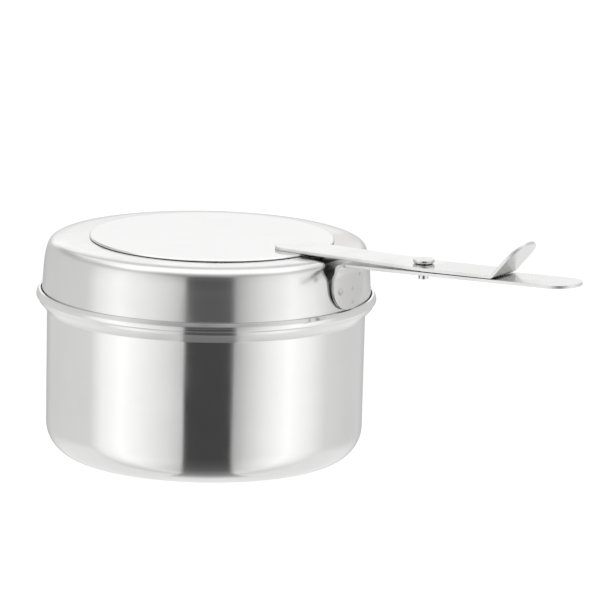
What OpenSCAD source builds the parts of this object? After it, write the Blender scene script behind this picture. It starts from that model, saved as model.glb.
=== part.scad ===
// Fuel holder for a chafing dish: a drawn cup with a flared mouth, a cover that sits in the mouth,
// a strip handle welded to the cover, and a damper disc on a riveted lever.
// +Z is up, +X runs along the handle, and the origin is the centre of the cup's base.

/* [Cup] */
// Outside radius of the wall just under the flared mouth
cup_r = 45.5; // [40:0.5:60]
// Height of the wall's straight part, up to the corner where the flare starts
cup_wall_h = 42.5; // [30:0.5:80]
// How much smaller the radius is at the bottom of the wall
cup_taper = 0.2; // [0.1:0.1:1.5]
// Outside radius of the rounded corner between wall and base
cup_corner_r = 9.4; // [4:0.2:14]
// Thickness of the cup's sheet
cup_t = 0.5; // [0.4:0.05:0.7]

/* [Mouth] */
// How far the bulge of the mouth stands out past the wall
mouth_out = 3.1; // [2.8:0.1:4]
// Outside radius of the bulge's section
mouth_bulge_r = 1.85; // [1.6:0.05:2.2]
// Angle of the flare from upright
mouth_flare = 45; // [40:1:50]
// Outside radius of the soft corner between wall and flare
mouth_neck_r = 1.1; // [0.8:0.1:2.4]
// How far round the bulge's section the lip curls in, from level
mouth_curl = 66; // [58:1:72]

/* [Lid] */
// Height of the skirt and crown, from the skirt's lower edge to the flat top
lid_h = 17.8; // [16:0.2:30]
// Lean of the skirt from upright
lid_lean = 3.5; // [2:0.5:5]
// Angle at which the crown's gentle curve meets the shoulder
lid_crown_angle = 18; // [14:1:22]
// Outside radius of the crown's gentle curve
lid_crown_r = 22; // [18:1:26]
// Outside radius of the shoulder
lid_shoulder_r = 3.3; // [2:0.1:4.5]
// Thickness of the lid's sheet
lid_t = 0.5; // [0.4:0.05:0.7]
// Gap between the skirt's widest part, at its lower edge, and the mouth's lip that it lifts out past
lid_lip_gap = 0.12; // [0.08:0.02:0.3]
// Gap between the skirt's lower edge and the flare that it sits on
lid_seat_gap = 0.1; // [0.05:0.05:0.3]
// Radius of the flame opening
flame_r = 28; // [20:1:32]

/* [Handle] */
// Length of the bar, from the tongue's outer face to the round end
bar_len = 73.2; // [65:0.2:110]
// Width of the bar
bar_w = 13.5; // [11:0.5:14.5]
// Thickness of the bar
bar_t = 0.9; // [0.8:0.1:1.5]
// How steeply the bar rises away from the lid
bar_rise = 2; // [0.5:0.5:3]
// Width of the tongue that is welded to the skirt
tongue_w = 16; // [15.2:0.2:24]
// Radius of the tongue's lower corners
tongue_corner_r = 6.5; // [2:0.5:8]
// Gap between the tongue's lower edge and the mouth's lip
tongue_lip_gap = 0.4; // [0.3:0.1:2]
// Gap between the tongue and the widest part of the skirt above the lip
tongue_skirt_gap = 0.3; // [0.05:0.05:0.5]
// Inside radius of the bend between tongue and bar
bar_bend_r = 1; // [0.6:0.1:2]

/* [Damper] */
// How far the disc reaches past the flame opening all round
disc_cover = 7; // [4:0.5:9]
// Thickness of the disc
disc_t = 0.55; // [0.4:0.05:0.8]
// Gap under the disc, between it and the lid's flat top
disc_gap = 0.12; // [0.08:0.02:0.3]
// How far the closed disc's centre stands off the lid's axis, towards the handle
disc_shift = 0.8; // [0:0.1:2]
// Width of the lever
lever_w = 13; // [12:0.5:15]
// Thickness of the lever
lever_t = 0.95; // [0.8:0.05:1.2]
// Distance that the lever's inner end lies inside the disc's edge
lever_lap = 11.6; // [9:0.2:20]
// Radius of the corners at the lever's inner end
lever_corner_r = 4.5; // [1:0.5:6]
// Distance from the rivet to the fold of the thumb tab
tab_fold_x = 25; // [18:0.2:30]
// Angle of the thumb tab from the level
tab_angle = 49; // [30:1:60]
// Length of the thumb tab past its fold
tab_len = 12.2; // [8:0.2:18]
// Radius of the corners at the thumb tab's end
tab_corner_r = 5.7; // [2:0.1:5.9]
// Inside radius of the thumb tab's fold
tab_bend_r = 1; // [0.6:0.2:2]
// Angle that the closed damper stands at, round the rivet
rest_swing = -0.9; // [-2:0.1:2]

/* [Rivet] */
// Distance from the tongue's outer face to the rivet
rivet_out = 23.3; // [16:0.1:30]
// Radius of the shank
rivet_r = 1.45; // [1.2:0.05:2]
// Running gap round the shank in the lever
rivet_run_gap = 0.05; // [0.02:0.01:0.1]
// Radius of the head
rivet_head_r = 3.1; // [2.8:0.1:4.5]
// Height of the head
rivet_head_h = 1.15; // [0.9:0.05:1.6]
// Running gap between the head and the lever
rivet_head_gap = 0.06; // [0.03:0.01:0.15]
// Gap between lever and bar at the rivet, which lets the flat lever turn over the rising bar
lever_bar_gap = 0.32; // [0.3:0.02:0.5]
// How far the tail stands out under the bar
rivet_tail = 2.2; // [1.6:0.1:4]
// Depth of the hollow in the tail's end
rivet_hollow = 1.4; // [0.6:0.1:1.5]
// Thickness of the wall round the hollow
rivet_wall = 0.5; // [0.4:0.05:0.8]
// Radius of the head's lower edge
rivet_edge_r = 0.8; // [0.3:0.1:0.8]

/* [Welds] */
// Radius of each weld spot
weld_r = 1.4; // [0.8:0.1:2]
// Depth that a weld spot reaches into each sheet
weld_bite = 0.2; // [0.1:0.05:0.25]

/* [Hidden] */
$fn = 180;
far = 400;
arc_steps = 12;

// Cup and mouth: places on the outside of the sheet
wall_lean = atan(cup_taper / (cup_wall_h - cup_corner_r));
corner_x = cup_r - cup_taper - cup_corner_r;
bulge_x = cup_r + mouth_out - mouth_bulge_r;
flare_x = bulge_x + mouth_bulge_r * cos(mouth_flare);
bulge_z = cup_wall_h + (flare_x - cup_r) / tan(mouth_flare) + mouth_bulge_r * sin(mouth_flare);
lip_r = bulge_x + (mouth_bulge_r - cup_t) * cos(mouth_curl);
lip_z = bulge_z + (mouth_bulge_r - cup_t) * sin(mouth_curl);
lip_top_z = bulge_z + mouth_bulge_r * sin(mouth_curl);

// Lid: the skirt's lower edge passes inside the lip, and sits just off the flare's inside
skirt_low_r = lip_r - lid_lip_gap;
flare_in_z = cup_wall_h + (skirt_low_r - cup_r) / tan(mouth_flare) + cup_t / sin(mouth_flare);
seat_z = flare_in_z + lid_seat_gap / sin(mouth_flare);
function skirt_r(z) = skirt_low_r - (z - seat_z) * tan(lid_lean);
lid_top = seat_z + lid_h;
shoulder_z = lid_top - lid_shoulder_r;
crown_end_z = shoulder_z + lid_shoulder_r * sin(lid_crown_angle);
crown_z = crown_end_z - lid_crown_r * sin(lid_crown_angle);
crown_start_z = crown_z + lid_crown_r * sin(lid_lean);
crown_x = skirt_r(crown_start_z) - lid_crown_r * cos(lid_lean);
shoulder_x = crown_x + (lid_crown_r - lid_shoulder_r) * cos(lid_crown_angle);

// Handle: the tongue stands upright just off the skirt, and carries the bar and the rivet
tongue_z = lip_top_z + tongue_lip_gap;
tongue_in_x = skirt_r(tongue_z) + tongue_skirt_gap;
tongue_out_x = tongue_in_x + bar_t;
bar_end_x = tongue_out_x + bar_len;
rivet_x = tongue_out_x + rivet_out;

// Damper and bar heights
disc_z = lid_top + disc_gap;
lever_z = disc_z + disc_t;
bar_top_z = lever_z - lever_bar_gap;
bar_under_z = bar_top_z - bar_t / cos(bar_rise);
function bar_under(x) = bar_under_z + (x - rivet_x) * tan(bar_rise);
rivet_head_z = lever_z + lever_t + rivet_head_gap;
rivet_end_z = bar_under_z - rivet_tail;

// Bend between tongue and bar, and the fillets where the tongue widens past the bar
bend_x = tongue_out_x + bar_bend_r;
bend_z = bar_under(bend_x) - bar_bend_r / cos(bar_rise);
flare_r = (tongue_w - bar_w) / 2;

// Disc and lever, measured from the rivet
disc_r = flame_r + disc_cover;
disc_arm = rivet_x - disc_shift;
lever_in = disc_arm - disc_r + lever_lap;
rise_x = rivet_head_r + lever_t;
rise_along = [cos(bar_rise), sin(bar_rise)];
rise_up = [-sin(bar_rise), cos(bar_rise)];
fold_r = tab_bend_r + lever_t;
fold_c = [rise_x, 0] + (tab_fold_x - rise_x) * rise_along + fold_r * rise_up;

// Weld spots: [across, up] on the tongue, and [along, across] from the rivet on the lever
tongue_spot_y = tongue_w * 3 / 8;
tongue_mid_z = (tongue_z + bend_z) / 2;
tongue_spots = [
    [-tongue_spot_y - weld_r, tongue_mid_z - weld_r],
    [weld_r, tongue_mid_z - weld_r],
    [tongue_spot_y, tongue_mid_z + 2 * weld_r]
];
disc_spot_x = lever_lap / 2 - lever_in;
disc_spots = [[disc_spot_x, -lever_w / 4], [disc_spot_x, lever_w / 4]];

// Points along an arc round c
function arc(c, r, from, to) =
    [for (i = [0:arc_steps]) c + r * [cos(from + (to - from) * i / arc_steps),
        sin(from + (to - from) * i / arc_steps)]];

// Cup section: centres of the corner, neck and bulge
corner_c = [corner_x, cup_corner_r];
neck_cut = mouth_neck_r * tan((mouth_flare - wall_lean) / 2);
neck_c = [cup_r, cup_wall_h] - neck_cut * [sin(wall_lean), cos(wall_lean)]
    + mouth_neck_r * [cos(wall_lean), -sin(wall_lean)];
bulge_c = [bulge_x, bulge_z];

module cup_section() {
    polygon(concat(
        [[0, 0]],
        arc(corner_c, cup_corner_r, -90, -wall_lean),
        arc(neck_c, mouth_neck_r, 180 - wall_lean, 180 - mouth_flare),
        arc(bulge_c, mouth_bulge_r, -mouth_flare, mouth_curl),
        arc(bulge_c, mouth_bulge_r - cup_t, mouth_curl, -mouth_flare),
        arc(neck_c, mouth_neck_r + cup_t, 180 - mouth_flare, 180 - wall_lean),
        arc(corner_c, cup_corner_r - cup_t, -wall_lean, -90),
        [[0, cup_t]]
    ));
}

module lid_section() {
    skirt_low = [skirt_low_r, seat_z];
    polygon(concat(
        [[flame_r, lid_top]],
        arc([shoulder_x, shoulder_z], lid_shoulder_r, 90, lid_crown_angle),
        arc([crown_x, crown_z], lid_crown_r, lid_crown_angle, lid_lean),
        [skirt_low, skirt_low - lid_t * [cos(lid_lean), sin(lid_lean)]],
        arc([crown_x, crown_z], lid_crown_r - lid_t, lid_lean, lid_crown_angle),
        arc([shoulder_x, shoulder_z], lid_shoulder_r - lid_t, lid_crown_angle, 90),
        [[flame_r, lid_top - lid_t]]
    ));
}

// Takes a square corner at [x, y] off to a radius, in the quarter that side points to
module corner_cut(x, y, r, side) {
    translate([x - r, side * (y - r)]) difference() {
        translate([0, -r - far / 2 + side * (r + far / 2)]) square([2 * r, 2 * r + far]);
        circle(r = r);
    }
}

// Extrudes a side view, drawn in x and z, across a strip's width
module across(w) {
    translate([0, w / 2, 0]) rotate([90, 0, 0]) linear_extrude(w) children();
}

module cup() {
    color("silver") rotate_extrude() cup_section();
}

module lid() {
    color("gainsboro") rotate_extrude() lid_section();
}

// The space inside the skirt's outer surface, where the tongue's weld spots end
module skirt_core() {
    rotate_extrude() polygon(concat(
        [[0, seat_z], [skirt_low_r, seat_z]],
        arc([crown_x, crown_z], lid_crown_r, lid_lean, lid_crown_angle),
        [[0, crown_end_z]]
    ));
}

module weld_spot(h) {
    cylinder(r = weld_r, h = h, $fn = 48);
}

// Side view of the whole strip: tongue, bend and rising bar
module bar_side() {
    bend_c = [bend_x, bend_z];
    along = (bar_end_x - bend_x) / cos(bar_rise) * rise_along;
    polygon(concat(
        [[tongue_out_x, tongue_z]],
        arc(bend_c, bar_bend_r, 180, 90 + bar_rise),
        [bend_c + bar_bend_r * rise_up + along, bend_c + (bar_bend_r + bar_t) * rise_up + along],
        arc(bend_c, bar_bend_r + bar_t, 90 + bar_rise, 180),
        [[tongue_in_x, tongue_z]]
    ));
}

// Top view of the bar, which is as wide as the tongue at its bend
module bar_plan() {
    translate([bend_x, -bar_w / 2]) square([bar_end_x - bar_w / 2 - bend_x, bar_w]);
    translate([bar_end_x - bar_w / 2, 0]) circle(r = bar_w / 2);
    difference() {
        translate([0, -tongue_w / 2]) square([bend_x + flare_r, tongue_w]);
        for (side = [-1, 1]) translate([bend_x + flare_r, side * tongue_w / 2]) circle(r = flare_r);
    }
}

module handle_bar() {
    color("lightgray") difference() {
        intersection() {
            across(tongue_w) bar_side();
            linear_extrude(far) bar_plan();
        }
        translate([tongue_in_x - bar_t, 0, 0]) rotate([0, 90, 0]) linear_extrude(3 * bar_t)
            for (side = [-1, 1]) corner_cut(-tongue_z, tongue_w / 2, tongue_corner_r, side);
        translate([rivet_x, 0, 0]) cylinder(r = rivet_r, h = far);
        tongue_spot_pins();
    }
}

module tongue_spot_pins() {
    for (spot = tongue_spots) translate([shoulder_x, spot[0], spot[1]]) rotate([0, 90, 0])
        weld_spot(tongue_in_x + weld_bite - shoulder_x);
}

module tongue_welds() {
    color("dimgray") difference() {
        tongue_spot_pins();
        skirt_core();
    }
}

// Puts a piece that is drawn from the rivet at its place, standing at the closed damper's angle
module swung() {
    translate([rivet_x, 0, 0]) rotate(rest_swing) children();
}

module disc_spot_pins() {
    for (spot = disc_spots) translate([spot[0], spot[1], lever_z - weld_bite]) weld_spot(2 * weld_bite);
}

module damper_disc() {
    color("whitesmoke") swung() difference() {
        translate([-disc_arm, 0, disc_z]) cylinder(r = disc_r, h = disc_t);
        disc_spot_pins();
    }
}

module disc_welds() {
    color("dimgray") swung() disc_spot_pins();
}

// Side view of the lever: level up to just past the rivet's head, rising with the bar, then folded
// up as a thumb tab
module lever_side() {
    tab_end = tab_len * [cos(tab_angle), sin(tab_angle)];
    polygon(concat(
        [[-lever_in, 0], [rise_x, 0]],
        arc(fold_c, fold_r, bar_rise - 90, tab_angle - 90),
        [
            fold_c + fold_r * [sin(tab_angle), -cos(tab_angle)] + tab_end,
            fold_c + tab_bend_r * [sin(tab_angle), -cos(tab_angle)] + tab_end
        ],
        arc(fold_c, tab_bend_r, tab_angle - 90, bar_rise - 90),
        [[rise_x - lever_t * tan(bar_rise / 2), lever_t], [-lever_in, lever_t]]
    ));
}

// Rounds the end of the thumb tab, square to its face
module tab_corners() {
    translate([fold_c[0], 0, fold_c[1]]) rotate([0, -tab_angle, 0])
        translate([0, 0, -fold_r - lever_t]) linear_extrude(3 * lever_t)
            for (side = [-1, 1]) corner_cut(tab_len, lever_w / 2, tab_corner_r, side);
}

module damper_lever() {
    color("silver") swung() difference() {
        translate([0, 0, lever_z]) difference() {
            across(lever_w) lever_side();
            translate([0, 0, -lever_t]) mirror([1, 0, 0]) linear_extrude(3 * lever_t)
                for (side = [-1, 1]) corner_cut(lever_in, lever_w / 2, lever_corner_r, side);
            tab_corners();
        }
        cylinder(r = rivet_r + rivet_run_gap, h = far);
        disc_spot_pins();
    }
}

module rivet_section() {
    edge_c = [rivet_head_r - rivet_edge_r, rivet_head_z + rivet_edge_r];
    bore_r = rivet_r - rivet_wall;
    head_top = rivet_head_z + rivet_head_h;
    polygon(concat(
        [[0, rivet_end_z + rivet_hollow], [bore_r, rivet_end_z + rivet_hollow], [bore_r, rivet_end_z]],
        [[rivet_r, rivet_end_z], [rivet_r, rivet_head_z]],
        arc(edge_c, rivet_edge_r, -90, 0),
        [[rivet_head_r, head_top], [0, head_top]]
    ));
}

module pivot_rivet() {
    color("darkgray") translate([rivet_x, 0, 0]) rotate_extrude() rivet_section();
}

cup();
lid();
handle_bar();
tongue_welds();
damper_disc();
damper_lever();
disc_welds();
pivot_rivet();
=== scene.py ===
"""Looks of a lidded fuel holder for chafing dishes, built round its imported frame.

Every length is in metres. The frame gives where each piece stands; the property groups below give
the sizes that the frame's boxes can't, and the finishes. +Z is up and +X runs along the handle.
"""

import math
from functools import partial

import bmesh
import bpy
from bpy.props import FloatProperty, FloatVectorProperty, IntProperty, PointerProperty
from mathutils import Matrix, Vector
from mathutils.geometry import delaunay_2d_cdt


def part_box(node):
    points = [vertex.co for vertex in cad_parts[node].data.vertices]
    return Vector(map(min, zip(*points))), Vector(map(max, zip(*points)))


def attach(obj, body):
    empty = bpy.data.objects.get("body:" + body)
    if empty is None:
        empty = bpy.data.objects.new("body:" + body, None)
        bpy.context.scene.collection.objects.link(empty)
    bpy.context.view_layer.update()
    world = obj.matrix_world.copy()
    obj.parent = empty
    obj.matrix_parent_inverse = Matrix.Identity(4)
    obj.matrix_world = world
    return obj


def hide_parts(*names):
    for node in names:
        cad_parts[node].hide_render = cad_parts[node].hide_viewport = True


bl_info = {
    "name": "Chafing Dish Fuel Holder",
    "version": (1, 0, 0),
    "blender": (4, 5, 0),
    "location": "3D View > Sidebar > Fuel Holder",
    "description": "Dresses a lidded fuel holder with a strip handle and a swinging damper",
    "category": "Add Mesh",
}

MM = 0.001
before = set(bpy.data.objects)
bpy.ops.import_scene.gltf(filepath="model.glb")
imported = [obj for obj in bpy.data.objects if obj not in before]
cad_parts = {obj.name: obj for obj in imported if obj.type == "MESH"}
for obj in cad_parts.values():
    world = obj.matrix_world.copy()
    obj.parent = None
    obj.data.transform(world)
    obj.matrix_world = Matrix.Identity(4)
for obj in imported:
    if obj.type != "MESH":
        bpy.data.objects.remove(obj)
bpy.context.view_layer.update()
CUP_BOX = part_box("cup")
LID_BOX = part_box("lid")
BAR_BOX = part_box("handle_bar")
DISC_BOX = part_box("damper_disc")
LEVER_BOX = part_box("damper_lever")
RIVET_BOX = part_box("pivot_rivet")
RIVET_X = (RIVET_BOX[0].x + RIVET_BOX[1].x) / 2
QUARTER = math.pi / 2
SAME = 0.001 * MM  # Points closer than this are one
SEGMENTS = 256  # Sides of a turned sheet


def length(name, description, default):
    """A length property, given in millimetres and kept in metres."""
    return FloatProperty(name=name, description=description, default=default * MM, unit="LENGTH", precision=5)


def angle(name, description, degrees):
    """An angle property, given in degrees and kept in radians."""
    return FloatProperty(name=name, description=description, default=math.radians(degrees),
                         subtype="ANGLE", unit="ROTATION")


def share(name, description, default):
    """A share from 0 to 1."""
    return FloatProperty(name=name, description=description, default=default, min=0.0, max=1.0,
                         subtype="FACTOR")


def colour(name, description, default):
    """A linear colour."""
    return FloatVectorProperty(name=name, description=description, default=default, size=3,
                               subtype="COLOR", min=0.0, max=1.0)


class CupSizes(bpy.types.PropertyGroup):
    """Sizes of the drawn cup and its flared mouth"""

    wall_radius: length("Wall radius", "Outside radius just under the flare", 45.5)
    wall_height: length("Wall height", "Height of the corner where the flare starts", 42.5)
    taper: length("Taper", "How much smaller the radius is at the bottom of the wall", 0.2)
    corner_radius: length("Base corner", "Outside radius between wall and base", 9.4)
    sheet: length("Sheet", "Thickness of the sheet", 0.5)
    bulge_radius: length("Bulge", "Outside radius of the mouth's bulge", 1.85)
    neck_radius: length("Neck", "Inside radius between wall and flare", 1.6)
    flare: angle("Flare", "Angle of the flare's inside from upright", 45)
    curl: angle("Curl", "How far round the bulge the lip curls in, from level", 66)
    nose_z: length("Nose", "Height at which the mouth stands out furthest", 46.3)
    nose_radius: length("Nose radius", "Radius of the mouth's section above the nose", 2.1)


class LidSizes(bpy.types.PropertyGroup):
    """Sizes of the lid's section"""

    flame_radius: length("Flame opening", "Radius of the flame opening", 28)
    rim_start: length("Rim", "Radius at which the flat top starts to fall away", 35.8)
    rim_slope: angle("Rim slope", "Slope of the rim round the disc", 1.2)
    brow_radius: length("Brow", "Outside radius of the gentle bend outside the rim", 22)
    brow_angle: angle("Brow angle", "Slope at which the gentle bend meets the shoulder", 10)
    shoulder_height: length("Shoulder height", "Height of the top over the end of the crown", 2.28)
    crown_radius: length("Crown", "Outside radius of the crown's gentle curve", 22)
    crown_angle: angle("Crown angle", "Angle at which the crown meets the shoulder", 18)
    lean: angle("Skirt lean", "Lean of the skirt from upright", 3.5)
    sheet: length("Sheet", "Thickness of the sheet", 0.5)


class StripSizes(bpy.types.PropertyGroup):
    """Sizes of the handle strip"""

    bar_width: length("Bar width", "Width of the bar", 13.5)
    tongue_width: length("Tongue width", "Width of the welded tongue", 16)
    tongue_corner: length("Tongue corner", "Radius of the tongue's lower corners", 6.5)
    tongue_curve: length("Tongue curve", "How far the tongue's sides are curved in", 0.95)
    thickness: length("Thickness", "Thickness of the strip", 0.9)
    bend_radius: length("Bend", "Inside radius between tongue and bar", 1)
    rise: angle("Rise", "How steeply the bar rises away from the lid", 2)
    edge_radius: length("Edge", "Radius that the cut edges are tumbled to", 0.14)
    mark_radius: length("Weld mark", "Radius of the dent that a welding electrode leaves", 1.25)
    mark_depth: length("Weld mark depth", "Depth of that dent", 0.09)
    # How much darker the whole tongue is made, fading out towards the bend
    tongue_darkening: share("Tongue heat", "How much heat tint the welding left all over the tongue", 0.22)


class DamperSizes(bpy.types.PropertyGroup):
    """Sizes of the damper lever, measured from the rivet"""

    width: length("Lever width", "Width of the lever", 13)
    thickness: length("Thickness", "Thickness of the lever", 0.95)
    inner_corner: length("Inner corner", "Radius of the corners over the disc", 4.5)
    fold_out: length("Fold", "Distance from the rivet to the thumb tab's fold", 25)
    fold_radius: length("Fold radius", "Inside radius of the thumb tab's fold", 1)
    tab_angle: angle("Tab angle", "Angle of the thumb tab from level", 49)
    tab_length: length("Tab length", "Length of the thumb tab past its fold", 12.2)
    tab_corner: length("Tab corner", "Radius of the corners at the tab's end", 5.7)
    lap: length("Lap", "How far the lever's inner end lies inside the disc's edge", 11.6)
    swing: angle("Closed swing", "Angle that the closed damper stands at, round the rivet", -0.9)
    disc_edge: length("Disc edge", "Radius that the disc's lower edge is tumbled to", 0.1)
    disc_roll: length("Disc roll", "Width of the slope that blanking leaves on the upper edge", 0.37)


class RivetSizes(bpy.types.PropertyGroup):
    """Sizes of the pivot rivet"""

    shank_radius: length("Shank", "Radius of the shank", 1.45)
    head_height: length("Head height", "Height of the head", 1.15)
    head_under_radius: length("Head's lower edge", "Radius of the head's lower edge", 0.8)
    head_top_radius: length("Head's upper edge", "Radius of the head's upper edge", 0.2)
    hollow_depth: length("Hollow", "Depth of the hollow in the tail", 1.4)
    hollow_radius: length("Hollow radius", "Radius of the hollow in the tail", 0.95)
    edge_radius: length("Tail edge", "Radius of the tail's rim", 0.12)


class SteelLook(bpy.types.PropertyGroup):
    """Finish of the steel"""

    drawn: colour("Drawn steel", "Colour of the polished drawn sheet", (0.78, 0.78, 0.775))
    strip: colour("Strip steel", "Colour of the bright rolled strip", (0.77, 0.77, 0.765))
    rivet: colour("Rivet steel", "Colour of the rivet", (0.74, 0.74, 0.735))
    # Also the colour of the painted shade on the lid's top and on the weld marks' lower halves, and of the
    # darkening over the tongue
    heat: colour("Heat tint", "Colour that a weld leaves round its mark", (0.42, 0.40, 0.38))
    roughness: share("Roughness", "Roughness of the polished sheet", 0.12)
    lid: colour("Lid steel", "Colour of the lid's duller drawn sheet", (0.735, 0.735, 0.73))
    lid_roughness: share("Lid roughness", "Roughness of the lid", 0.18)
    strip_roughness: share("Strip roughness", "Roughness of the rolled strip", 0.2)
    rivet_roughness: share("Rivet roughness", "Roughness of the rivet", 0.22)
    # Where the painted shade on the lid's top lies, beside the handle, and how far it reaches
    shade_along: length("Tint along", "Where the lid's top is heat-tinted, along the handle", 36)
    shade_across: length("Tint across", "Where the lid's top is heat-tinted, across the handle", 23)
    shade_reach: length("Tint reach", "How far from there the tint reaches", 17)


class StudioSizes(bpy.types.PropertyGroup):
    """Camera and light tent"""

    camera_distance: length("Camera distance", "From the aim point to the camera", 1881.9)
    aim_height: length("Aim height", "Height of the point that the camera turns about", 36)
    azimuth: angle("Azimuth", "Turn of the camera round the holder, from -Y towards +X", 32)
    elevation: angle("Elevation", "Height of the camera above the horizon", 12.002)
    roll: angle("Roll", "Roll of the camera", 1.31)
    yaw: angle("Yaw", "Turn of the camera away from the aim point", -0.879)
    pitch: angle("Pitch", "Tilt of the camera away from the aim point", 0.238)
    sensor: length("Sensor", "Width of the sensor", 36)
    lens: length("Lens", "Focal length", 388.06)
    floor_half: length("Floor", "Half the width of the floor", 3000)


GROUPS = {
    "cup": CupSizes,
    "lid": LidSizes,
    "strip": StripSizes,
    "damper": DamperSizes,
    "rivet": RivetSizes,
    "steel": SteelLook,
    "studio": StudioSizes,
}


def sizes(name):
    """The property group that a piece takes its sizes from."""
    return getattr(bpy.context.scene, "holder_" + name)


# ---------------------------------------------------------------- sections


def arc(centre, radius, start, end, step=math.radians(3)):
    """Points along an arc in a section, both ends included."""
    count = max(2, math.ceil(abs(end - start) / step))
    turns = [start + (end - start) * i / count for i in range(count + 1)]
    return [(centre[0] + radius * math.cos(t), centre[1] + radius * math.sin(t)) for t in turns]


def filleted(corners):
    """Points along a row of corners (x, z, radius), each rounded to its radius."""
    found = []
    for i, (x, z, radius) in enumerate(corners):
        here = Vector((x, z))
        if radius == 0.0 or i in (0, len(corners) - 1):
            found.append((x, z))
            continue
        back = (Vector(corners[i - 1][:2]) - here).normalized()
        ahead = (Vector(corners[i + 1][:2]) - here).normalized()
        half = back.angle(ahead) / 2
        centre = here + (back + ahead).normalized() * (radius / math.sin(half))
        first = here + back * (radius / math.tan(half)) - centre
        last = here + ahead * (radius / math.tan(half)) - centre
        start = math.atan2(first.y, first.x)
        turn = (math.atan2(last.y, last.x) - start + math.pi) % math.tau - math.pi
        found += arc(centre, radius, start, start + turn, math.radians(6))
    return found


# Outside of the mouth from the neck up: distance in from the nose, height from the nose, and radius
MOUTH = (
    (3.09, -4.20, 0.50), (0.84, -1.70, 0.40), (0.54, -0.86, 0.04), (0.08, -0.42, 0.15), (0.0, -0.10, 0.10),
)
# The lip's top, from the nose
LIP = ((0.62, 1.72, 0.06), (1.22, 1.75, 0.10), (1.29, 1.50, 0.0))


def cup_section(cup):
    """Section of the cup's sheet, from the axis under the base round the lip and back."""
    inner = cup.bulge_radius - cup.sheet
    lean = math.atan2(cup.taper, cup.wall_height - cup.corner_radius)
    corner = (cup.wall_radius - cup.taper - cup.corner_radius, cup.corner_radius)
    mouth_x = min(abs(v) for corner in CUP_BOX for v in corner[:2])
    bulge_x = mouth_x - cup.bulge_radius
    flare_x = bulge_x + cup.bulge_radius * math.cos(cup.flare)
    bulge_z = (cup.wall_height + (flare_x - cup.wall_radius) / math.tan(cup.flare)
               + cup.bulge_radius * math.sin(cup.flare))
    neck_cut = (cup.neck_radius - cup.sheet) * math.tan((cup.flare - lean) / 2)
    neck = (cup.wall_radius - cup.sheet + cup.neck_radius, cup.wall_height - neck_cut)
    placed = lambda rows: [(mouth_x - x * MM, cup.nose_z + z * MM, r * MM) for x, z, r in rows]
    base = arc(corner, cup.corner_radius, -QUARTER, -lean)
    nose = (mouth_x - cup.nose_radius, cup.nose_z)
    over = arc(nose, cup.nose_radius, 0.0, math.radians(26))
    return (
        [(0.0, 0.0)]
        + base[:-1]
        + filleted([(*base[-1], 0.0)] + placed(MOUTH) + [(*over[1], 0.0)])[:-1]
        + over[1:-1]
        + filleted([(*over[-1], 0.0)] + placed(LIP))
        + arc((bulge_x, bulge_z), inner, cup.curl, -cup.flare)
        + arc(neck, cup.neck_radius, math.pi - cup.flare, math.pi - lean)
        + arc(corner, cup.corner_radius - cup.sheet, -lean, -QUARTER)
        + [(0.0, cup.sheet)]
    )


def lid_section(lid):
    """Section of the lid's sheet, closed, from the flame opening down the skirt and back."""
    sheet, half = lid.sheet, lid.sheet / 2
    low_r, seat_z, top_z = LID_BOX[1].x, LID_BOX[0].z, LID_BOX[1].z
    crown, lean, end = lid.crown_radius, lid.lean, lid.crown_angle
    end_z = top_z - lid.shoulder_height
    crown_z = end_z - crown * math.sin(end)
    start_z = crown_z + crown * math.sin(lean)
    crown_x = low_r - (start_z - seat_z) * math.tan(lean) - crown * math.cos(lean)
    end_x = crown_x + crown * math.cos(end)
    slope, brow, full = lid.rim_slope, lid.brow_radius, lid.brow_angle
    brow_out = brow * (math.sin(full) - math.sin(slope))
    brow_down = brow * (math.cos(slope) - math.cos(full))
    shoulder = (top_z - end_z - (end_x - brow_out - lid.rim_start) * math.tan(slope) - brow_down) / (
        math.cos(full) - math.sin(end) - (math.cos(end) - math.sin(full)) * math.tan(slope))
    shoulder_c = (end_x - shoulder * math.cos(end), end_z - shoulder * math.sin(end))
    brow_c = (shoulder_c[0] - (brow - shoulder) * math.sin(full),
              shoulder_c[1] - (brow - shoulder) * math.cos(full))
    foot = (low_r - half * math.cos(lean) - half * math.sin(lean),
            seat_z - half * math.sin(lean) + half * math.cos(lean))
    fine, coarse = math.radians(1), math.radians(20)
    bends = (
        (brow_c, brow, QUARTER - slope, QUARTER - full, fine),
        (shoulder_c, shoulder, QUARTER - full, end, math.radians(3)),
        ((crown_x, crown_z), crown, end, lean, fine),
    )
    outside, inside = [], []
    for centre, radius, first, last, step in bends:
        outside += arc(centre, radius, first, last, step)
        inside = arc(centre, radius - sheet, last, first, step) + inside
    return (
        arc((lid.flame_radius + half, top_z - half), half, QUARTER * 3, QUARTER, coarse)
        + [(lid.rim_start, top_z)]
        + outside
        + arc(foot, half, lean, lean - math.pi, coarse)
        + inside
        + [(lid.rim_start, top_z - sheet)]
    )


def disc_section(damper):
    """Section of the damper disc, from the axis round its edge and back."""
    radius, edge, roll = (DISC_BOX[1].x - DISC_BOX[0].x) / 2, damper.disc_edge, damper.disc_roll
    low, high = DISC_BOX[0].z, DISC_BOX[1].z
    return filleted([
        (0.0, low, 0.0), (radius, low, edge), (radius, high - 0.95 * roll, edge),
        (radius - roll, high, 2 * edge), (0.0, high, 0.0),
    ])


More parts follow.
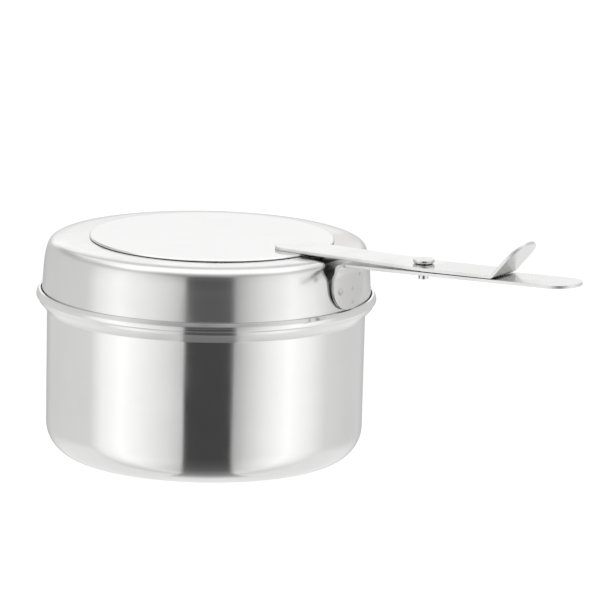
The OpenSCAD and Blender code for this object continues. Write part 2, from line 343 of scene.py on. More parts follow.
def rivet_section(rivet):
    """Section of the rivet, from the bottom of its hollow tail up to the middle of its head."""
    low, high = RIVET_BOX[0].z, RIVET_BOX[1].z
    head_r = (RIVET_BOX[1].x - RIVET_BOX[0].x) / 2
    under, top, rim = rivet.head_under_radius, rivet.head_top_radius, rivet.edge_radius
    head_z = high - rivet.head_height
    step = math.radians(15)
    return (
        [(0.0, low + rivet.hollow_depth), (rivet.hollow_radius, low + rivet.hollow_depth)]
        + arc((rivet.hollow_radius + rim, low + rim), rim, math.pi, QUARTER * 3, step)
        + arc((rivet.shank_radius - rim, low + rim), rim, -QUARTER, 0, step)
        + [(rivet.shank_radius, head_z)]
        + arc((head_r - under, head_z + under), under, -QUARTER, 0, math.radians(8))
        + arc((head_r - top, high - top), top, 0, QUARTER, step)
        + [(0.0, high)]
    )


# ---------------------------------------------------------------- nodes and objects


def feed(tree, target, inputs):
    """Links or sets a node's inputs, given by name or number."""
    for key, value in inputs.items():
        if isinstance(value, bpy.types.NodeSocket):
            tree.links.new(value, target.inputs[key])
        else:
            target.inputs[key].default_value = value


def node(tree, kind, inputs, out=0, **settings):
    """Adds a node with its settings and inputs, and returns one of its outputs."""
    made = tree.nodes.new(kind)
    for key, value in settings.items():
        setattr(made, key, value)
    feed(tree, made, inputs)
    return made.outputs[out]


def maths(tree, operation, *values):
    """A Math node's result."""
    return node(tree, "ShaderNodeMath", dict(enumerate(values)), operation=operation)


def joined(tree, x, y, z=0.0):
    """A vector from three values."""
    return node(tree, "ShaderNodeCombineXYZ", {0: x, 1: y, 2: z})


def parted(tree, vector):
    """A vector's three values."""
    return tuple(node(tree, "ShaderNodeSeparateXYZ", {0: vector}).node.outputs)


def spread(tree, value, low, high, to_low=0.0, to_high=1.0):
    """Maps a value's range to another, clamped."""
    ends = {"Value": value, "From Min": low, "From Max": high, "To Min": to_low, "To Max": to_high}
    return node(tree, "ShaderNodeMapRange", ends, interpolation_type="SMOOTHSTEP")


def blended(tree, amount, first, second):
    """A colour between two, by an amount. Each of the two is a socket or a colour."""
    ends = [value if isinstance(value, bpy.types.NodeSocket) else (*value, 1.0) for value in (first, second)]
    return node(tree, "ShaderNodeMix", {0: amount, 6: ends[0], 7: ends[1]}, 2, data_type="RGBA")


def added(name, data):
    """A new object in the scene."""
    made = bpy.data.objects.new(name, data)
    bpy.context.scene.collection.objects.link(made)
    return made


def solid(name, shape, finish):
    """Makes a bmesh an object with a finish."""
    mesh = bpy.data.meshes.new(name)
    shape.to_mesh(mesh)
    shape.free()
    mesh.materials.append(finish)
    return added(name, mesh)


# ---------------------------------------------------------------- turned pieces


def turned_sheet_tree():
    """Geometry Nodes that turn a section, given as a row of points, round the Z axis."""
    tree = bpy.data.node_groups.new("turned_sheet", "GeometryNodeTree")
    for name, way, kind in (
        ("Section", "INPUT", "Geometry"),
        ("Segments", "INPUT", "Int"),
        ("Finish", "INPUT", "Material"),
        ("Sheet", "OUTPUT", "Geometry"),
    ):
        tree.interface.new_socket(name, in_out=way, socket_type="NodeSocket" + kind)
    given = tree.nodes.new("NodeGroupInput").outputs
    calc = partial(maths, tree)
    add = lambda kind, inputs, out=0, **settings: node(tree, "GeometryNode" + kind, inputs, out, **settings)
    count = add("AttributeDomainSize", {0: given["Section"]}, "Point Count")
    columns = calc("ADD", given["Segments"], 1)
    index = add("InputIndex", {})
    row = calc("FLOOR", calc("DIVIDE", index, columns))
    column = calc("SUBTRACT", index, calc("MULTIPLY", row, columns))
    across = calc("DIVIDE", column, given["Segments"])
    along = calc("DIVIDE", row, calc("SUBTRACT", count, 1))
    place = add("SampleIndex", {"Geometry": given["Section"], "Value": add("InputPosition", {}), "Index": row},
                data_type="FLOAT_VECTOR")
    place = node(tree, "ShaderNodeVectorRotate", {"Vector": place, "Angle": calc("MULTIPLY", across, math.tau)},
                 rotation_type="Z_AXIS")
    flat = add("FieldOnDomain", {0: joined(tree, across, along)}, data_type="FLOAT_VECTOR", domain="POINT")
    sheet = add("MeshGrid", {"Vertices X": count, "Vertices Y": columns}, "Mesh")
    sheet = add("SetPosition", {"Geometry": sheet, "Position": place})
    sheet = add("StoreNamedAttribute", {"Geometry": sheet, "Name": "UVMap", "Value": flat},
                data_type="FLOAT2", domain="CORNER")
    sheet = add("MergeByDistance", {"Geometry": sheet, "Distance": SAME})
    sheet = add("SetShadeSmooth", {"Geometry": sheet})
    sheet = add("RealizeInstances", {0: sheet})
    sheet = add("SetMaterial", {"Geometry": sheet, "Material": given["Finish"]})
    feed(tree, tree.nodes.new("NodeGroupOutput"), {0: sheet})
    return tree


def held(section, least=0.4 * MM, margin=0.04 * MM):
    """Adds points near both ends of each straight run, so that shading stays flat along it."""
    found = [section[0]]
    for here, after in zip(section, section[1:]):
        run = math.dist(here, after)
        if run > least:
            lerp = lambda t: tuple(a + (b - a) * t for a, b in zip(here, after))
            found += [lerp(margin / run), lerp(1 - margin / run)]
        found.append(after)
    return found


def turned(name, section, segments, finish, centre=(0.0, 0.0)):
    """Turns a section into a closed mesh, through Geometry Nodes, and stands it at centre."""
    tree = bpy.data.node_groups.get("turned_sheet") or turned_sheet_tree()
    row = bpy.data.meshes.new(name + "_section")
    points = [(x, 0.0, z) for x, z in held(section)]
    row.from_pydata(points, [(i, i + 1) for i in range(len(points) - 1)], [])
    holder = added(name, row)
    modifier = holder.modifiers.new("turned", "NODES")
    modifier.node_group = tree
    sockets = {item.name: item.identifier for item in tree.interface.items_tree if item.in_out == "INPUT"}
    modifier[sockets["Segments"]] = segments
    modifier[sockets["Finish"]] = finish
    graph = bpy.context.evaluated_depsgraph_get()
    mesh = bpy.data.meshes.new_from_object(holder.evaluated_get(graph), depsgraph=graph)
    holder.modifiers.clear()
    holder.data = mesh
    shape = bmesh.new()
    shape.from_mesh(mesh)
    bmesh.ops.remove_doubles(shape, verts=shape.verts, dist=SAME)
    bmesh.ops.recalc_face_normals(shape, faces=shape.faces)
    bmesh.ops.translate(shape, verts=shape.verts, vec=(centre[0], centre[1], 0.0))
    shape.to_mesh(mesh)
    shape.free()
    return holder


# ---------------------------------------------------------------- bent strips


class Path:
    """A strip's middle line in its side view: straight runs and bends, one after another."""

    def __init__(self, start, heading):
        self.runs = []
        self.end = Vector(start)
        self.heading = heading
        self.length = 0.0

    def straight(self, distance, turn=0.0):
        """Adds a run, straight unless it turns."""
        self.runs.append((self.length, self.length + distance, self.end.copy(), self.heading, turn))
        self.length += distance
        self.end, self.heading = self.at(self.length)
        return self

    def bend(self, radius, turn):
        """Adds a bend of the middle line's radius. A positive turn is anticlockwise."""
        return self.straight(radius * abs(turn), turn)

    def at(self, s):
        """The point and heading at a distance s along the path."""
        run = next((r for r in self.runs if s <= r[1]), self.runs[-1])
        first, last, start, heading, turn = run
        if turn == 0.0:
            return start + (s - first) * Vector((math.cos(heading), math.sin(heading))), heading
        radius = (last - first) / turn
        now = heading + (s - first) / radius
        step = Vector((math.sin(now) - math.sin(heading), math.cos(heading) - math.cos(now)))
        return start + radius * step, now

    def cuts(self, step=math.radians(5), margin=0.03 * MM):
        """Where the flat blank is cut across, so that bends come out round and flats stay flat."""
        found = []
        for first, last, _, _, turn in self.runs:
            if turn:
                count = max(2, math.ceil(abs(turn) / step))
                found += [first - margin, last + margin]
                found += [first + (last - first) * i / count for i in range(count + 1)]
        return sorted(found)


def inset(outline, distance):
    """Moves a closed anticlockwise outline inwards."""
    moved = []
    count = len(outline)
    for i, point in enumerate(outline):
        before, after = outline[i - 1], outline[(i + 1) % count]
        first = (Vector(point) - Vector(before)).normalized()
        second = (Vector(after) - Vector(point)).normalized()
        middle = (first + second).normalized()
        inward = Vector((-middle.y, middle.x))
        moved.append(Vector(point) + inward * (distance / max(0.5, middle.dot(first))))
    return moved


def tidy(outline, least=0.02 * MM):
    """Drops points that repeat the one before."""
    return [p for i, p in enumerate(outline) if (Vector(p) - Vector(outline[i - 1])).length > least]


def crossed(outline, places, least=0.01 * MM):
    """Adds points to a closed outline where it crosses places along the strip."""
    found = []
    for here, after in zip(outline, outline[1:] + outline[:1]):
        found.append(here)
        low, high = sorted((here.x, after.x))
        inside = sorted((p for p in places if low + least < p < high - least), reverse=after.x < here.x)
        found += [here.lerp(after, (place - here.x) / (after.x - here.x)) for place in inside]
    return found


def blank(outline, hole, thickness, edge, stations, rows=(), fill=()):
    """A flat strip with tumbled edges and a round hole, as (along, across, up) points.

    Its faces have edges across them at the stations, and its outline has points at the rows too.
    """
    shape = bmesh.new()
    turns = [math.radians(t) for t in (-90, -60, -30, 0)]
    lower = [(edge * (1 - math.cos(t)), -thickness / 2 + edge * (1 + math.sin(t))) for t in turns]
    lower = [(edge + 0.03 * MM, -thickness / 2)] + lower
    profile = lower + [(inner, -height) for inner, height in reversed(lower)]
    rims = ([], [])
    for loop, side in ((crossed(tidy(outline), (*stations, *rows)), 1), (hole, -1)):
        rings = []
        for inner, height in profile:
            rings.append([shape.verts.new((p.x, p.y, height)) for p in inset(loop, side * inner)])
        for below, above in zip(rings, rings[1:]):
            count = len(below)
            for i in range(count):
                j = (i + 1) % count
                shape.faces.new((below[i], below[j], above[j], above[i]))
        rims[0].append(rings[0])
        rims[1].append(rings[-1])
    for rim in rims:
        capped(shape, rim, stations, fill)
    return shape


def capped(shape, rims, stations, fill):
    """Closes one side of a blank between its rims, with edges across it at the stations."""
    corners = [vert for rim in rims for vert in rim]
    height = corners[0].co.z
    points = [vert.co.to_2d() / MM for vert in corners] + [Vector(point) / MM for point in fill]
    edges, first = [], 0
    for rim in rims:
        edges += [(first + i, first + (i + 1) % len(rim)) for i in range(len(rim))]
        first += len(rim)
    for place in stations:
        ends = [i for i, vert in enumerate(rims[0]) if abs(vert.co.x - place) < 0.01 * MM]
        if len(ends) == 2:
            edges.append(tuple(ends))
    found, _, faces, given, _, _ = delaunay_2d_cdt(points, edges, [], 1, 1e-5)
    verts = [corners[ids[0]] if ids and ids[0] < len(corners) else shape.verts.new((*(point * MM), height))
             for point, ids in zip(found, given)]
    hole = set(rims[1])
    for face in faces:
        ring = [verts[i] for i in face]
        if not hole.issuperset(ring):
            shape.faces.new(ring)


def bent(name, shape, path, finish, uv_scale=20.0, pressed=None, turn=None):
    """Bends a flat blank along its path and makes it an object with a UV map along the strip."""
    bmesh.ops.recalc_face_normals(shape, faces=shape.faces)
    layer = shape.loops.layers.uv.new("UVMap")
    # Layers for the amount of tint that pressed gives (heat tint round weld marks, painted shade on their lower
    # halves, darkening over the tongue) and for the cut edges
    marks = [shape.verts.layers.float.new(key) for key in ("weld_tint_and_shade", "cut_edge")]
    level = max(vert.co.z for vert in shape.verts) - SAME
    for face in shape.faces:
        face.smooth = True
        for loop in face.loops:
            loop[layer].uv = (loop.vert.co.x * uv_scale, loop.vert.co.y * uv_scale)
    for vert in shape.verts:
        along, across, up = vert.co
        vert[marks[1]] = float(abs(up) < level)
        if pressed:
            up, vert[marks[0]] = pressed(along, across, up)
        middle, heading = path.at(along)
        vert.co = (middle.x - up * math.sin(heading), across, middle.y + up * math.cos(heading))
    if turn:
        shape.transform(turn)
    return solid(name, shape, finish)


def round_hole(along, radius, count=48):
    """A closed anticlockwise circle of points on a blank's middle line."""
    turns = [math.tau * i / count for i in range(count)]
    return [Vector((along + radius * math.cos(t), radius * math.sin(t))) for t in turns]


def mirrored(half):
    """Closes an outline from its lower half, which runs in the strip's own direction."""
    return [Vector(p) for p in half] + [Vector((x, -y)) for x, y in reversed(half)]


# ---------------------------------------------------------------- finishes


def new_metal(name):
    """A new metal with its node tree, surface shader and Object coordinates."""
    finish = bpy.data.materials.new(name)
    finish.use_nodes = True
    tree = finish.node_tree
    shader = tree.nodes["Principled BSDF"]
    shader.inputs["Metallic"].default_value = 1.0
    return finish, tree, shader, node(tree, "ShaderNodeTexCoord", {}, "Object")


def noise(tree, vector, scale, detail=2.0, roughness=0.5):
    """A noise texture's value on a vector."""
    given = {"Vector": vector, "Scale": scale, "Detail": detail, "Roughness": roughness}
    return node(tree, "ShaderNodeTexNoise", given)


def stretched(tree, vector, scale):
    """A vector scaled along each axis."""
    return node(tree, "ShaderNodeMapping", {"Vector": vector, "Scale": scale}, vector_type="POINT")


def bumped(tree, height, strength, distance, before=None):
    """A bump from a height, on top of the bump before it."""
    given = {"Height": height, "Strength": strength, "Distance": distance}
    return node(tree, "ShaderNodeBump", {**given, "Normal": before} if before else given)


def worn(tree, amount, base):
    """A steel's colour, a little darker where it is worn."""
    return blended(tree, amount, base, [c * 0.9 for c in base])


def round_the_axis(tree, coords, centre):
    """Cosine and sine of the turn round the piece's axis, radius and height, so that a grain follows it."""
    calc = partial(maths, tree)
    *place, height = parted(tree, coords)
    place = [calc("SUBTRACT", value, middle) for value, middle in zip(place, centre)]
    radius = calc("SQRT", calc("ADD", *(calc("MULTIPLY", value, value) for value in place)))
    cosine, sine = (calc("DIVIDE", value, calc("MAXIMUM", radius, 0.1 * MM)) for value in place)
    return cosine, sine, radius, height


def turned_steel(name, base, roughness, centre=(0.0, 0.0), streaks=0.35, spun=0.5, cut_from=1.0, painted_shade=None):
    """Polished sheet: fine lines round the axis, faint upright streaks from drawing, soft smears.

    From the radius cut_from outwards it has the duller finish of a cut edge. The last argument, given as
    (place, reach, colour), is painted shade: the surface darkens towards that colour round that place.
    """
    finish, tree, shader, coords = new_metal(name)
    cosine, sine, radius, height = round_the_axis(tree, coords, centre)
    calc = partial(maths, tree)
    ring = joined(tree, *(calc("MULTIPLY", side, 0.01) for side in (cosine, sine)), calc("ADD", height, radius))
    fine = noise(tree, stretched(tree, ring, (1.0, 1.0, 40.0)), 300.0, 4.0, 0.65)
    upright = noise(tree, joined(tree, cosine, sine, calc("MULTIPLY", height, 2.0)), 9.0, 3.0)
    smear = noise(tree, coords, 55.0, 4.0, 0.6)
    rough = spread(tree, smear, 0.3, 0.75, roughness * 0.85, roughness * 1.25)
    dull = spread(tree, radius, cut_from, cut_from + 0.05 * MM, 0.0, 0.33)
    skin = worn(tree, spread(tree, smear, 0.35, 0.8, 0.0, 0.35), base)
    # Painted shade: the colour darkens towards the given colour near the given place
    if painted_shade:
        place, reach, heat = painted_shade
        apart = node(tree, "ShaderNodeVectorMath", {0: coords, 1: place}, "Value", operation="DISTANCE")
        skin = blended(tree, spread(tree, apart, 0.45 * reach, reach, 0.5, 0.0), skin, heat)
    waves = bumped(tree, upright, streaks, 0.05 * MM)
    feed(tree, shader, {
        "Base Color": skin,
        "Roughness": calc("ADD", rough, dull),
        "Normal": bumped(tree, fine, 0.25, 0.002 * MM, waves),
        "Anisotropic": spun,
        "Anisotropic Rotation": 0.25,
        "Tangent": node(tree, "ShaderNodeTangent", {}, direction_type="UV_MAP", uv_map="UVMap"),
    })
    return finish


def strip_steel(name, base, roughness, heat):
    """Rolled strip: a straight grain along it, tumbled scuffs, and heat tint round the weld marks, with painted
    shade on their lower halves and a darkening over the tongue.
    """
    finish, tree, shader, coords = new_metal(name)
    grain = noise(tree, stretched(tree, coords.node.outputs["UV"], (3.0, 160.0, 1.0)), 8.0, 4.0, 0.6)
    scuff = noise(tree, coords, 90.0, 5.0, 0.65)
    # The stored tint amount: heat tint round the weld marks, painted shade on their lower halves, and a
    # darkening over the tongue
    mark, sheared = (node(tree, "ShaderNodeAttribute", {}, "Fac", attribute_name=key)
                     for key in ("weld_tint_and_shade", "cut_edge"))
    rough = spread(tree, scuff, 0.3, 0.8, roughness * 0.85, roughness * 1.3)
    waves = bumped(tree, noise(tree, coords, 40.0, 1.0), 0.2, 0.03 * MM)
    feed(tree, shader, {
        "Base Color": blended(tree, mark, worn(tree, spread(tree, scuff, 0.4, 0.85, 0.0, 0.3), base), heat),
        "Roughness": maths(tree, "ADD", rough, maths(tree, "MULTIPLY", sheared, 0.25)),
        "Normal": bumped(tree, grain, 0.1, 0.002 * MM, waves),
    })
    return finish


def weld_steel(name, heat):
    """The dull, heat-tinted steel of a weld spot."""
    finish, tree, shader, coords = new_metal(name)
    grit = noise(tree, coords, 2500.0, 4.0, 0.7)
    feed(tree, shader, {
        "Base Color": blended(tree, grit, [c * 0.6 for c in heat], heat),
        "Roughness": spread(tree, grit, 0.3, 0.7, 0.35, 0.6),
        "Normal": bumped(tree, grit, 0.5, 0.02 * MM),
    })
    return finish


# ---------------------------------------------------------------- pieces


def settle(piece, body, slot, *nodes):
    """Says what a finished piece rides on and which nodes it stands for. Its slot is not used."""
    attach(piece, body)
    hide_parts(*nodes)
    return piece


class HOLDER_OT_cup(bpy.types.Operator):
    """Makes the drawn cup with its flared mouth"""

    bl_idname = "fuel_holder.cup"
    bl_label = "Cup"

    def execute(self, context):
        steel = sizes("steel")
        finish = turned_steel("polished_cup_steel", steel.drawn, steel.roughness)
        cup = turned("cup_shell", cup_section(sizes("cup")), SEGMENTS, finish)
        settle(cup, "holder", "drawn_steel", "cup")
        return {"FINISHED"}


class HOLDER_OT_lid(bpy.types.Operator):
    """Makes the drawn lid with its flame opening"""

    bl_idname = "fuel_holder.lid"
    bl_label = "Lid"

    def execute(self, context):
        steel = sizes("steel")
        # Painted shade: a darker patch on the lid's top beside the handle, in the weld tint's colour
        painted_shade = ((steel.shade_along, steel.shade_across, LID_BOX[1].z), steel.shade_reach, steel.heat)
        finish = turned_steel("polished_lid_steel", steel.lid, steel.lid_roughness, painted_shade=painted_shade)
        section = lid_section(sizes("lid"))
        lid = turned("lid_shell", section + section[:1], SEGMENTS, finish)
        settle(lid, "cover", "drawn_steel", "lid")
        return {"FINISHED"}


class HOLDER_OT_handle(bpy.types.Operator):
    """Makes the handle strip, whose tongue is spot-welded to the lid's skirt"""

    bl_idname = "fuel_holder.handle"
    bl_label = "Handle"

    def execute(self, context):
        strip, steel, rivet = sizes("strip"), sizes("steel"), sizes("rivet")
        middle = strip.bend_radius + strip.thickness / 2
        turn = QUARTER - strip.rise
        bend_x = BAR_BOX[0].x + strip.thickness + strip.bend_radius
        bend_start = self.bend_height(strip, bend_x) - BAR_BOX[0].z
        path = Path((BAR_BOX[0].x + strip.thickness / 2, BAR_BOX[0].z), QUARTER)
        path.straight(bend_start).bend(middle, -turn)
        bar_start = path.length
        to_bar = lambda x: bar_start + (x - path.end.x) / math.cos(strip.rise)
        neck, end, hole = to_bar(bend_x), to_bar(BAR_BOX[1].x) - 0.02 * MM, to_bar(RIVET_X)
        path.straight(end - bar_start)
        rows, fill = self.grid(strip, bend_start)
        shape = blank(self.outline(strip, neck, end), round_hole(hole, rivet.shank_radius), strip.thickness,
                      strip.edge_radius, path.cuts(), rows, fill)
        finish = strip_steel("rolled_handle_steel", steel.strip, steel.strip_roughness, steel.heat)
        bar = bent("handle_strip", shape, path, finish, pressed=self.pressing(strip, bend_start))
        settle(bar, "cover", "strip_steel", "handle_bar")
        return {"FINISHED"}

    def outline(self, strip, neck, end):
        """The blank's outline: the wide tongue, the narrower bar past its neck, and the round end."""
        wide, narrow, corner = strip.tongue_width / 2, strip.bar_width / 2, strip.tongue_corner
        fillet = wide - narrow
        half = (
            arc((corner, corner - wide), corner, math.pi, QUARTER * 3)
            + arc((neck + fillet, -wide), fillet, math.pi, QUARTER)
            + arc((end - narrow, 0.0), narrow, -QUARTER, 0.0)[:-1]
        )
        outline = mirrored(half)
        outline.insert(len(half), Vector((end, 0.0)))
        return outline

    def grid(self, strip, tongue, step=0.35 * MM):
        """Rows along the tongue and a grid of points on it, fine enough for its curve and weld marks."""
        wide = math.floor(strip.tongue_width / 2 / step)
        rows = [step * i for i in range(1, math.floor(tongue / step) - 1)]
        lines = [step * i for i in range(2 - wide, wide - 1)]
        return rows, [(x, y) for x in rows for y in lines if self.on_tongue(x, y, strip)]

    def on_tongue(self, along, across, strip):
        """Whether a place on the tongue is clear of its edges and rounded corners."""
        corner = strip.tongue_corner
        out = max(0.0, corner - along), max(0.0, abs(across) - (strip.tongue_width / 2 - corner))
        return math.hypot(*out) < corner - 0.45 * MM

    def bend_height(self, strip, bend_x):
        """Height of the bend's centre, worked back from the bar's highest point at its round end."""
        end_under = BAR_BOX[1].z - strip.thickness / math.cos(strip.rise)
        under = end_under - (BAR_BOX[1].x - bend_x) * math.tan(strip.rise)
        return under - strip.bend_radius / math.cos(strip.rise)

    def pressing(self, strip, tongue):
        """How the tongue is curved to the skirt, dented by the welding electrodes and darkened, by place: heat
        tint round the dents with painted shade on their lower halves, and a darkening over the tongue.
        """
        # Along, across, size, and where between middle and rim the tint is darkest
        marks = (
            (0.47 * tongue, -5.2 * MM, 1.0, 0.6),
            (0.48 * tongue, 0.6 * MM, 0.6, 0.0),
            (0.79 * tongue, 4.9 * MM, 0.8, 0.3),
            (0.17 * tongue, 0.9 * MM, 0.7, 0.5),
        )

        def press(along, across, up):
            fade = 0.5 - 0.5 * math.cos(math.pi * min(1.0, max(0.0, 4 * (1 - along / tongue))))
            # The tongue is made darker all over, fading out towards the bend
            heat = strip.tongue_darkening * fade
            sagged = up + strip.tongue_curve * fade * (2 * across / strip.tongue_width) ** 2
            for x, y, size, ring in marks:
                distance = math.hypot(along - x, across - y) / (strip.mark_radius * size)
                if up < 0 and distance < 1:
                    sagged += strip.mark_depth * size * (1 - distance ** 2) ** 2
                    # Heat tint in a ring round the dent, with painted shade that makes the ring's lower half
                    # darker
                    burn = max(0.0, 1 - abs(distance - ring) / (1 - ring))
                    heat += 0.8 * size * burn * (1.0 if along < x or ring == 0.0 else 0.4)
            return sagged, heat

        return press


class HOLDER_OT_damper(bpy.types.Operator):
    """Makes the damper disc and the lever with its folded thumb tab"""

    bl_idname = "fuel_holder.damper"
    bl_label = "Damper"

    def execute(self, context):
        steel, damper = sizes("steel"), sizes("damper")
        centre = ((DISC_BOX[0] + DISC_BOX[1]) / 2).to_2d()
        cut_from = (DISC_BOX[1].x - DISC_BOX[0].x) / 2 - damper.disc_edge / 2
        finish = turned_steel("polished_disc_steel", steel.drawn, steel.roughness, centre, streaks=0.0,
                              spun=0.0, cut_from=cut_from)
        disc = turned("damper_plate", disc_section(damper), SEGMENTS, finish, centre)
        settle(disc, "damper", "drawn_steel", "damper_disc")
        finish = strip_steel("rolled_lever_steel", steel.strip, steel.strip_roughness, steel.heat)
        settle(self.lever(damper, centre, finish), "damper", "strip_steel", "damper_lever")
        return {"FINISHED"}

    def lever(self, damper, centre, finish):
        """The lever: level over the disc, rising with the bar, then folded up as a thumb tab."""
        strip, rivet = sizes("strip"), sizes("rivet")
        disc_r = (DISC_BOX[1].x - DISC_BOX[0].x) / 2
        reach_in = RIVET_X - centre.x - disc_r + damper.lap
        head_r = (RIVET_BOX[1].x - RIVET_BOX[0].x) / 2
        rise_x = head_r + damper.thickness
        soft, middle = 6 * MM, damper.fold_radius + damper.thickness / 2
        ease = soft * math.tan(strip.rise / 2)
        path = Path((-reach_in, DISC_BOX[1].z + damper.thickness / 2), 0.0)
        path.straight(reach_in + rise_x - ease).bend(soft, strip.rise)
        path.straight(damper.fold_out - rise_x - ease)
        path.bend(middle, damper.tab_angle - strip.rise).straight(damper.tab_length)
        end, side = path.length, damper.width / 2
        inner, outer = damper.inner_corner, damper.tab_corner
        half = (
            arc((inner, inner - side), inner, math.pi, QUARTER * 3)
            + arc((end - outer, outer - side), outer, -QUARTER, 0.0)
        )
        hole = round_hole(reach_in, rivet.shank_radius + 0.05 * MM)
        shape = blank(mirrored(half), hole, damper.thickness, strip.edge_radius, path.cuts())
        turn = Matrix.Translation((RIVET_X, 0.0, 0.0)) @ Matrix.Rotation(damper.swing, 4, "Z")
        return bent("damper_handle", shape, path, finish, turn=turn)


class HOLDER_OT_rivet(bpy.types.Operator):
    """Makes the pivot rivet with its hollow tail"""

    bl_idname = "fuel_holder.rivet"
    bl_label = "Rivet"

    def execute(self, context):
        steel = sizes("steel")
        centre = (RIVET_X, 0.0)
        finish = turned_steel("turned_rivet_steel", steel.rivet, steel.rivet_roughness, centre, streaks=0.0)
        rivet = turned("rivet_body", rivet_section(sizes("rivet")), 96, finish, centre)
        settle(rivet, "cover", "rivet_steel", "pivot_rivet")
        return {"FINISHED"}


class HOLDER_OT_welds(bpy.types.Operator):
    """Makes the weld spots under the curved tongue, and gives the disc's their finish"""

    bl_idname = "fuel_holder.welds"
    bl_label = "Weld spots"

    def execute(self, context):
        finish = weld_steel("weld_spot_steel", sizes("steel").heat)
        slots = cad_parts["disc_welds"].data.materials
        slots.clear()
        slots.append(finish)
        settle(self.tongue_spots(sizes("strip"), finish), "cover", "strip_steel", "tongue_welds")
        return {"FINISHED"}

    def tongue_spots(self, strip, finish, sides=32):
        """Two round spots from inside the skirt's sheet to inside the tongue."""
        low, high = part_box("tongue_welds")
        radius, middle = (high.z - low.z) / 2, (high.z + low.z) / 2
        shape = bmesh.new()
        turns = [math.tau * i / sides for i in range(sides)]
        for side in (-1, 1):
            rings = ([], [])
            for turn in turns:
                y = side * (high.y - radius) + radius * math.cos(turn)
                z = middle + radius * math.sin(turn)
                face = BAR_BOX[0].x - strip.tongue_curve * (2 * y / strip.tongue_width) ** 2
                for ring, x in zip(rings, (low.x, min(high.x, face + 0.25 * strip.thickness))):
                    ring.append(shape.verts.new((x, y, z)))
            for i in range(sides):
                shape.faces.new((rings[0][i - 1], rings[0][i], rings[1][i], rings[1][i - 1]))
            for ring in rings:
                shape.faces.new(ring)
        bmesh.ops.recalc_face_normals(shape, faces=shape.faces)
        return solid("tongue_weld_spots", shape, finish)


# ---------------------------------------------------------------- stage


def stops(tree, value, places):
    """Grey levels along a value, from (place, level) pairs."""
    low, high = places[0][0], places[-1][0]
    scaled = maths(tree, "DIVIDE", maths(tree, "SUBTRACT", value, low), high - low)
    grey = node(tree, "ShaderNodeValToRGB", {"Fac": scaled}, "Color")
    ramp = grey.node.color_ramp.elements
    for place, _ in places[1:-1]:
        ramp.new((place - low) / (high - low))
    for point, (_, level) in zip(ramp, places):
        point.color = (level, level, level, 1.0)
    return grey


# Light of the tent: degrees from the camera's side, and level. The wall's go from left to right, and
# the others the same both ways.
WALL = (
    (-180, 0.44), (-165, 0.56), (-150, 0.74), (-120, 0.8), (-92, 0.82), (-81, 1.1), (-63, 1.33), (-45, 1.14),
    (-27, 0.91), (-18, 0.75), (23, 0.56), (33, 0.82), (45, 1.06), (63, 1.3), (81, 1.13), (99, 0.84),
    (124, 0.77), (150, 0.74), (165, 0.6), (180, 0.44),
)
ABOVE = (
    (31, ((0, 0.23), (25, 0.51), (45, 0.82), (65, 0.94), (110, 0.7), (150, 0.55))),
    (42, ((0, 0.31), (35, 0.51), (55, 0.73), (75, 0.8), (105, 0.62), (150, 1.0))),
    (57, ((0, 0.51), (45, 0.7), (60, 1.0), (75, 1.3), (85, 1.42))),
    (74, ((0, 1.06), (45, 1.2), (90, 1.42))),
    (86, ((0, 1.42), (90, 1.42))),
)
# Light behind the holder, by height in degrees
BEHIND = (
    (-10, 0.6), (4, 0.77), (8, 0.94), (12, 1.1), (14.5, 1.42), (17, 1.22), (20, 1.0), (23, 0.68),
    (25.5, 0.42), (28, 0.8), (31, 1.15), (40, 1.3), (50, 1.42),
)
# Light of the gap at the camera, by degrees down from level, over the front and underneath
GAP = (
    (-30, 0.17), (-24, 0.15), (-19, 0.085), (-14, 0.11), (6, 0.145), (12, 0.06), (45, 0.09), (68, 0.135),
    (90, 0.3), (110, 0.7),
)


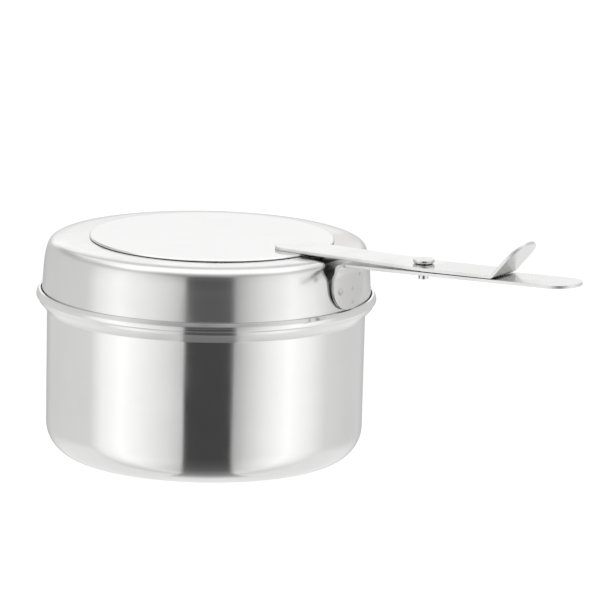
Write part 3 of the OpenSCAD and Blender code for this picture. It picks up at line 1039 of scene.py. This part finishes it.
class HOLDER_OT_stage(bpy.types.Operator):
    """Makes the floor, the light tent and the camera"""

    bl_idname = "fuel_holder.stage"
    bl_label = "Stage"

    def execute(self, context):
        studio = sizes("studio")
        self.floor(studio)
        self.tent(studio)
        self.camera(studio)
        context.scene.view_settings.view_transform = "Standard"
        return {"FINISHED"}

    def floor(self, studio):
        """A pale floor that keeps a soft contact shadow."""
        half, level = studio.floor_half, -0.05 * MM
        mesh = bpy.data.meshes.new("floor")
        corners = [(-half, -half, level), (half, -half, level), (half, half, level), (-half, half, level)]
        mesh.from_pydata(corners, [], [(0, 1, 2, 3)])
        floor = added("floor", mesh)
        finish = bpy.data.materials.new("pale_floor")
        tree = self.cleared(finish)
        glow = node(tree, "ShaderNodeEmission", {"Strength": 0.97})
        matt = node(tree, "ShaderNodeBsdfDiffuse", {"Color": (0.08, 0.08, 0.08, 1.0)})
        surface = node(tree, "ShaderNodeAddShader", {0: glow, 1: matt})
        feed(tree, tree.nodes.new("ShaderNodeOutputMaterial"), {"Surface": surface})
        mesh.materials.append(finish)
        floor.visible_glossy = False

    def cleared(self, owner):
        """The emptied node tree of a material or world."""
        owner.use_nodes = True
        owner.node_tree.nodes.clear()
        return owner.node_tree

    def tent(self, studio):
        """The light tent as the world: bright sides, a paler back and a dark gap at the camera."""
        world = bpy.data.worlds.new("light_tent")
        bpy.context.scene.world = world
        tree = self.cleared(world)
        calc, ramp, step, over = (partial(function, tree) for function in (maths, stops, spread, blended))
        both = partial(calc, "MULTIPLY")
        coords = node(tree, "ShaderNodeTexCoord", {}, "Generated")
        facing = node(tree, "ShaderNodeVectorRotate", {"Vector": coords, "Angle": -studio.azimuth},
                      rotation_type="Z_AXIS")
        right, back, up = parted(tree, facing)
        front = both(back, -1.0)
        around = calc("DEGREES", calc("ARCTAN2", right, front))
        away = calc("ABSOLUTE", around)
        height = calc("DEGREES", calc("ARCSINE", up))
        below = calc("DEGREES", calc("ARCTAN2", both(up, -1.0), front))
        wall = ramp(around, WALL)
        lit = over(step(height, -75, -30), both(wall, 0.7), wall)
        lit = over(both(step(below, 84, 98), step(height, -30, -14, 1.0, 0.0)), lit, (0.95, 0.95, 0.95))
        last = 12
        for level, places in ABOVE:
            lit = over(step(height, last, level), lit, ramp(away, places))
            last = level
        lit = over(both(step(away, 150, 166), step(height, -14, -6)), lit, ramp(height, BEHIND))
        flat = calc("SQRT", calc("SUBTRACT", 1.0, both(up, up)))
        gap = calc("DIVIDE", right, calc("ADD", both(flat, 0.47), 0.54))
        band = both(step(gap, -0.257, -0.245), step(gap, 0.3, 0.37, 1.0, 0.0))
        band = both(band, both(step(below, -42, -27), step(below, 98, 116, 1.0, 0.0)))
        lit = over(band, lit, ramp(below, GAP))
        seen = node(tree, "ShaderNodeLightPath", {}, "Is Camera Ray")
        white = node(tree, "ShaderNodeBackground", {"Color": (1.0, 1.0, 1.0, 1.0)})
        glow = node(tree, "ShaderNodeBackground", {"Color": lit})
        light = node(tree, "ShaderNodeMixShader", {0: seen, 1: glow, 2: white})
        feed(tree, tree.nodes.new("ShaderNodeOutputWorld"), {"Surface": light})

    def camera(self, studio):
        """The camera, turned about the aim point and then about itself."""
        cos_e, sin_e = math.cos(studio.elevation), math.sin(studio.elevation)
        place = Vector((0.0, -studio.camera_distance * cos_e, studio.camera_distance * sin_e))
        ahead = Vector((0.0, cos_e, -sin_e))
        right = Vector((1.0, 0.0, 0.0))
        up = right.cross(ahead)
        yaw = Matrix.Rotation(studio.yaw, 3, "Z")
        ahead, right, up = yaw @ ahead, yaw @ right, yaw @ up
        c, s = math.cos(studio.pitch), math.sin(studio.pitch)
        ahead, up = ahead * c + up * s, up * c - ahead * s
        c, s = math.cos(studio.roll), math.sin(studio.roll)
        right, up = right * c + up * s, up * c - right * s
        data = bpy.data.cameras.new("product_camera")
        data.sensor_width = studio.sensor / MM
        data.lens = studio.lens / MM
        data.clip_start, data.clip_end = 0.1, 20.0
        camera = added("product_camera", data)
        axes = Matrix((right, up, -ahead)).transposed().to_4x4()
        place.z += studio.aim_height
        camera.matrix_world = Matrix.Rotation(studio.azimuth, 4, "Z") @ Matrix.Translation(place) @ axes
        bpy.context.scene.camera = camera


PIECES = (HOLDER_OT_cup, HOLDER_OT_lid, HOLDER_OT_handle, HOLDER_OT_damper, HOLDER_OT_rivet, HOLDER_OT_welds)


class HOLDER_PT_panel(bpy.types.Panel):
    """Lists the holder's pieces and sizes in the sidebar"""

    bl_idname = "HOLDER_PT_panel"
    bl_label = "Fuel Holder"
    bl_space_type = "VIEW_3D"
    bl_region_type = "UI"
    bl_category = "Fuel Holder"

    def draw(self, context):
        for operator in (*PIECES, HOLDER_OT_stage):
            self.layout.operator(operator.bl_idname)
        for name, group in GROUPS.items():
            box = self.layout.box()
            box.label(text=name.title())
            for key in group.__annotations__:
                box.prop(sizes(name), key)


CLASSES = (*GROUPS.values(), *PIECES, HOLDER_OT_stage, HOLDER_PT_panel)


def register():
    """Registers the classes and hangs the property groups on the scene."""
    for cls in CLASSES:
        bpy.utils.register_class(cls)
    for name, group in GROUPS.items():
        setattr(bpy.types.Scene, "holder_" + name, PointerProperty(type=group))


def unregister():
    """Takes the property groups and classes away again."""
    for name in GROUPS:
        delattr(bpy.types.Scene, "holder_" + name)
    for cls in reversed(CLASSES):
        bpy.utils.unregister_class(cls)


def main():
    register()
    for operator in (*PIECES, HOLDER_OT_stage):
        group, name = operator.bl_idname.split(".")
        getattr(getattr(bpy.ops, group), name)()


if __name__ == "__main__":
    main()
